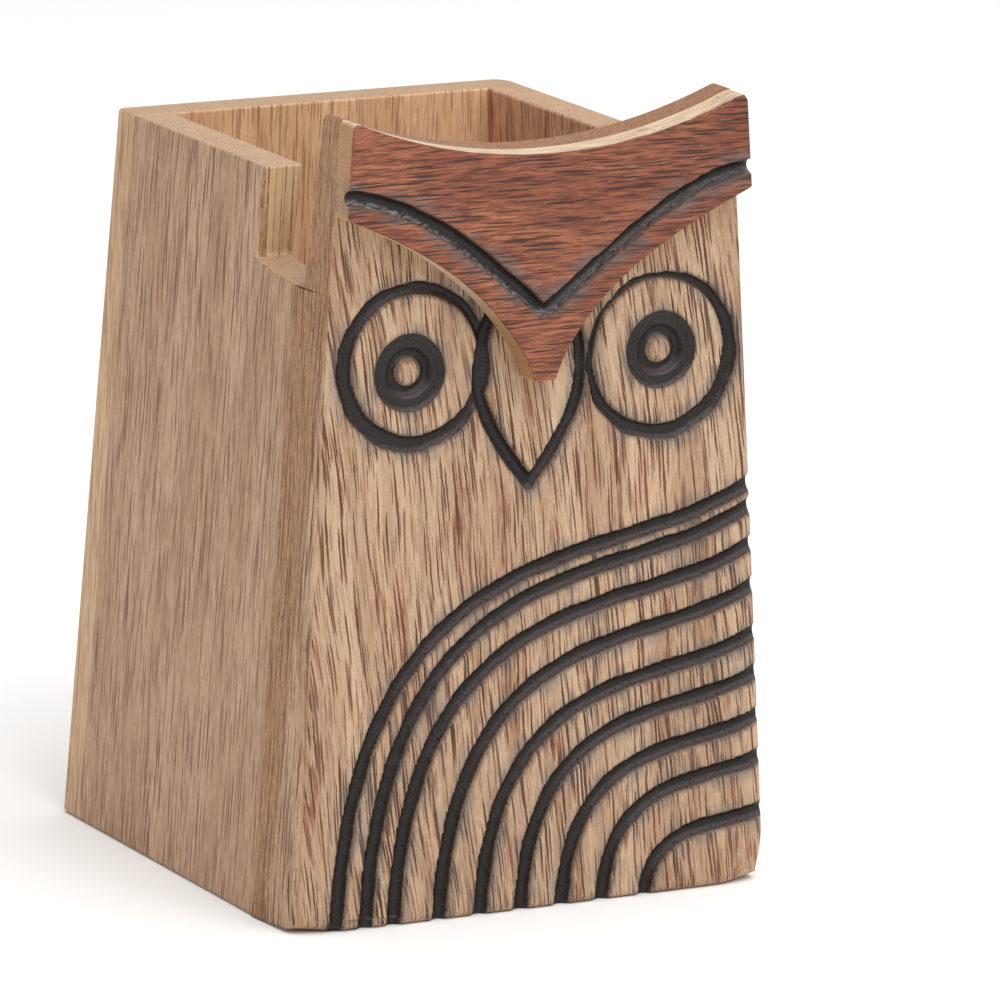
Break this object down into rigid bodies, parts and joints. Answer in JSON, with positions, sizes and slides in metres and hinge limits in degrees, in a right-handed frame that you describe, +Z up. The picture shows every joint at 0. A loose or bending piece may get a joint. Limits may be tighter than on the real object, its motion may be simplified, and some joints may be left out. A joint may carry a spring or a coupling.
{
  "type": "eyeglasses display stand",
  "caption": "Owl-shaped wooden stand that holds folded eyeglasses across its face, with an open well behind for pens.",
  "frame": {"origin": "middle of the underside of the box, on the surface that it stands on", "axes": "+Z up, -Y out of the carved face, +X to the right as the face is looked at"},
  "size_m": [0.082, 0.0848, 0.1245],
  "materials": {
    "face_wood": "satin oiled hardwood with burnt black carving",
    "brow_wood": "red-brown stained hardwood, satin, grain running across",
    "side_wood": "satin oiled hardwood, upright grain",
    "back_wood": "satin oiled hardwood, upright grain",
    "floor_wood": "plain sanded hardwood"
  },
  "bodies": {
    "root": {"face_board": "face_wood", "brow_board": "brow_wood", "left_wall": "side_wood", "right_wall": "side_wood", "back_board": "back_wood", "floor_board": "floor_wood"}
  },
  "joints": []
}
